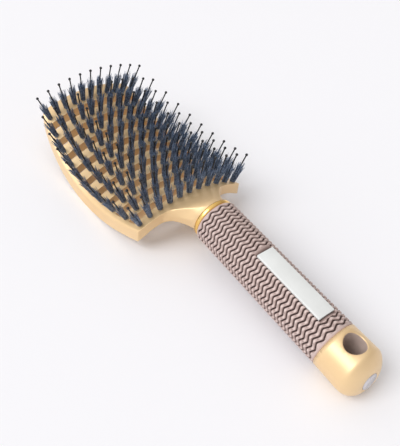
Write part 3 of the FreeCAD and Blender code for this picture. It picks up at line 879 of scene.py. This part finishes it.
tuftForm = {
    "seed": 7,
    "kinds": 5,
    "bristles": 46,
    "columns": 11,
    "sideMargin": 3.9,
    "sink": 2.6,
    "footRadius": 1.35,
    "tipRadius": 2.35,
    "tipShares": (0.85, 0.3),  # least, and how much chance adds
    "strayReach": 0.9,
    "strayPower": 3,  # only a few stray far
    "height": 14.8,
    "heightSpread": 4.6,
    "shortPower": 0.4,  # most end well short of the tallest
    "turn": 2.39996,  # golden angle, which fills the hole evenly
    "turnSpread": 0.3,
    "curl": 0.5,
    "bends": ((0.25, 0.35, 0.2), (0.6, 0.72, -0.25), (1.0, 1.0, 0.5)),  # shares of fan, height and curl
    "thick": 0.17,
    "thinShares": (1.0, 1.0, 0.9, 0.55),
}


def tuftSpots(row):
    along = rowPlace(row)
    middle = (tuftForm["columns"] - 1) / 2
    pitch = (headHalf(along) - tuftForm["sideMargin"]) / middle
    spots = []
    for column in range(tuftForm["columns"]):
        across = (column - middle) * pitch
        lean = math.asin(across / headForm["archRadius"])
        spot = Vector((across, headForm["nearEdge"] + along, topHeight(along, across)))
        spots.append((spot, lean))
    return spots


def strandPoints(k, draw):  # from inside the hole to the tip
    ring = math.sqrt((k + 0.5) / tuftForm["bristles"])
    angle = k * tuftForm["turn"] + draw.uniform(-tuftForm["turnSpread"], tuftForm["turnSpread"])
    out = Vector((math.cos(angle), math.sin(angle), 0.0))
    stray = draw.random() ** tuftForm["strayPower"]
    least, extra = tuftForm["tipShares"]
    fan = tuftForm["tipRadius"] * (least + extra * draw.random()) + tuftForm["strayReach"] * stray
    tip = ring * fan
    foot = tuftForm["footRadius"] * ring
    height = tuftForm["height"] - tuftForm["heightSpread"] * draw.random() ** tuftForm["shortPower"]
    aside = Vector((draw.uniform(-1, 1), draw.uniform(-1, 1), 0.0)) * tuftForm["curl"]
    points = [out * foot - Vector((0, 0, tuftForm["sink"]))]
    for reach, climb, curl in tuftForm["bends"]:
        points.append(out * (foot + reach * (tip - foot)) + Vector((0, 0, height * climb)) + aside * curl)
    return points


def modelTuft(draw):
    strands = bpy.data.curves.new("tuft", "CURVE")
    strands.dimensions = "3D"
    strands.bevel_depth = tuftForm["thick"] * mm
    strands.bevel_resolution = 0
    strands.resolution_u = 2
    strands.use_fill_caps = True
    for k in range(tuftForm["bristles"]):
        points = strandPoints(k, draw)
        strand = strands.splines.new("NURBS")
        strand.points.add(len(points) - 1)
        for point, place, thin in zip(strand.points, points, tuftForm["thinShares"]):
            point.co = (*(place * mm), 1.0)
            point.radius = thin
        strand.order_u = 3
        strand.use_endpoint_u = True
    bundle = bpy.data.objects.new("tuft", strands)
    bpy.context.scene.collection.objects.link(bundle)
    makeActive(bundle)
    bpy.ops.object.convert(target="MESH")
    return bpy.context.object


def buildTufts(material):
    draw = random.Random(tuftForm["seed"])
    kinds = [modelTuft(draw) for _ in range(tuftForm["kinds"])]
    for row in range(headForm["rows"]):
        copies = []
        for spot, lean in tuftSpots(row):
            copy = draw.choice(kinds).copy()
            copy.data = copy.data.copy()
            bpy.context.scene.collection.objects.link(copy)
            turn = Matrix.Rotation(lean, 4, "Y") @ Matrix.Rotation(draw.uniform(0, 2 * math.pi), 4, "Z")
            copy.data.transform(Matrix.Translation(spot * mm) @ turn)
            copies.append(copy)
        clearSelection()
        for copy in copies:
            copy.select_set(True)
        bpy.context.view_layer.objects.active = copies[0]
        bpy.ops.object.join()
        bundle = bpy.context.object
        bpy.ops.object.shade_smooth()
        name = "%02d" % (row + 1)
        finishPiece(bundle, "bristleRow" + name, material, "bristle", "tufts_row_" + name)
    for kind in kinds:
        mesh = kind.data
        bpy.data.objects.remove(kind)
        bpy.data.meshes.remove(mesh)
    counts = (headForm["rows"], tuftForm["columns"], tuftForm["bristles"])
    print("tufts: %d rows of %d, %d bristles each" % counts)


# Ring, end cap and badge: the carried-over forms, with the ring run on and the cap's end leaned back

seamGap = 0.002  # corners nearer than this are one corner
ringForm = {"crease": 40.0}
capForm = {
    "end": 116.2,
    "lean": 10.0,
    "leanFoot": -5.0,  # height off the axis where the lean starts
    "leanRun": 10.0,
    "leanLead": 1.1,  # runs before the end where the lean begins
    "holePlace": 100.3,
    "holeRadius": 5.7,
    "holeRim": 0.05,
    "crease": 35.0,
}


def carryOver(nodeName):  # a copy of a carried-over form, with its seams joined
    piece = cadNodes[nodeName].copy()
    piece.data = piece.data.copy()
    bpy.context.scene.collection.objects.link(piece)
    piece.hide_render = False
    makeActive(piece)
    bpy.ops.object.mode_set(mode="EDIT")
    bpy.ops.mesh.select_all(action="SELECT")
    bpy.ops.mesh.remove_doubles(threshold=seamGap * mm)
    bpy.ops.object.mode_set(mode="OBJECT")
    return piece


def widenRing(material):  # the sleeve side of the ring runs on to where the sleeve's end is set back
    piece = carryOver("neck_ring")
    away = handleWay()
    places = [handleSpot(vert.co)[0] for vert in piece.data.vertices]
    middle = (min(places) + max(places)) / 2
    for vert, run in zip(piece.data.vertices, places):
        if run > middle:
            vert.co += away * gripForm["setBack"]
    makeActive(piece)
    bpy.ops.object.shade_smooth_by_angle(angle=math.radians(ringForm["crease"]))
    finishPiece(piece, "neckRing", material, "plated_ring", "neck_ring")
    print("ring: %d faces" % len(piece.data.polygons))


def leanEnd(nodeName, name, material, slotName):
    piece = carryOver(nodeName)
    away = handleWay()
    inside = []
    for vert in piece.data.vertices:
        run, across, rise = handleSpot(vert.co)
        # marks the hanging hole's wall, which the cap's material paints in shade
        fromHole = math.hypot(across, run - capForm["holePlace"])
        inside.append(float(fromHole < capForm["holeRadius"] + capForm["holeRim"]))
        share = (run - capForm["end"]) / capForm["leanRun"] + capForm["leanLead"]
        back = math.tan(math.radians(capForm["lean"])) * max(rise - capForm["leanFoot"], 0.0)
        vert.co -= away * back * smoothStep(min(max(share, 0.0), 1.0))
    mark = piece.data.attributes.new("bore", "FLOAT", "POINT")
    mark.data.foreach_set("value", inside)
    makeActive(piece)
    bpy.ops.object.shade_smooth_by_angle(angle=math.radians(capForm["crease"]))
    finishPiece(piece, name, material, slotName, nodeName)
    print("%s: %d faces" % (name, len(piece.data.polygons)))


# Label: a bare flat plate with eased edges, proud of the sleeve along its two long sides

labelForm = {
    "start": 37.1,
    "length": 44.6,
    "half": 5.3,
    "sink": 0.5,
    "thick": 1.6,
    "ease": 0.3,
    "easeSteps": 3,
    "crease": 40.0,
}


def buildLabel(material):
    clearSelection()
    bpy.ops.mesh.primitive_cube_add(size=1)
    plate = bpy.context.object
    for vert in plate.data.vertices:
        run = labelForm["start"] + labelForm["length"] * (vert.co.y + 0.5)
        rise = gripRadius(run) - labelForm["sink"] - labelForm["thick"] * (0.5 - vert.co.z)
        across = Vector((2.0 * labelForm["half"] * vert.co.x, 0.0, 0.0))
        vert.co = (gripPoint(run, 0.0, rise) + across) * mm
    makeActive(plate)
    bpy.ops.object.mode_set(mode="EDIT")
    bpy.ops.mesh.select_all(action="SELECT")
    bpy.ops.mesh.normals_make_consistent(inside=False)
    bpy.ops.object.mode_set(mode="OBJECT")
    applyModifier(plate, "BEVEL", width=labelForm["ease"] * mm, segments=labelForm["easeSteps"])
    bpy.ops.object.shade_smooth_by_angle(angle=math.radians(labelForm["crease"]))
    finishPiece(plate, "labelPlate", material, "label", "label_plate")
    print("label: %d faces" % len(plate.data.polygons))


# Pins and anchors: the carried-over forms as they are, each in its own material


def dressNode(name, material):
    node = cadNodes[name]
    node.data.materials.clear()
    node.data.materials.append(material)


# The build, piece by piece

buildStage()
buildHead(satinGold())
buildGrip(gripRubber())
buildTufts(plainFinish("bristleNylon"))
pinNylon = plainFinish("pinNylon")
anchorWire = plainFinish("galvanisedWire")
for row in range(1, headForm["rows"] + 1):
    dressNode("pins_row_%02d" % row, pinNylon)
    dressNode("anchors_row_%02d" % row, anchorWire)
print("pins and anchors: nylon and wire")
widenRing(platedGold())
leanEnd("end_cap", "endCap", capGold(), "gold_plastic")
leanEnd("end_badge", "endBadge", plainFinish("bareDisc"), "badge")
buildLabel(plainFinish("bareVinyl"))
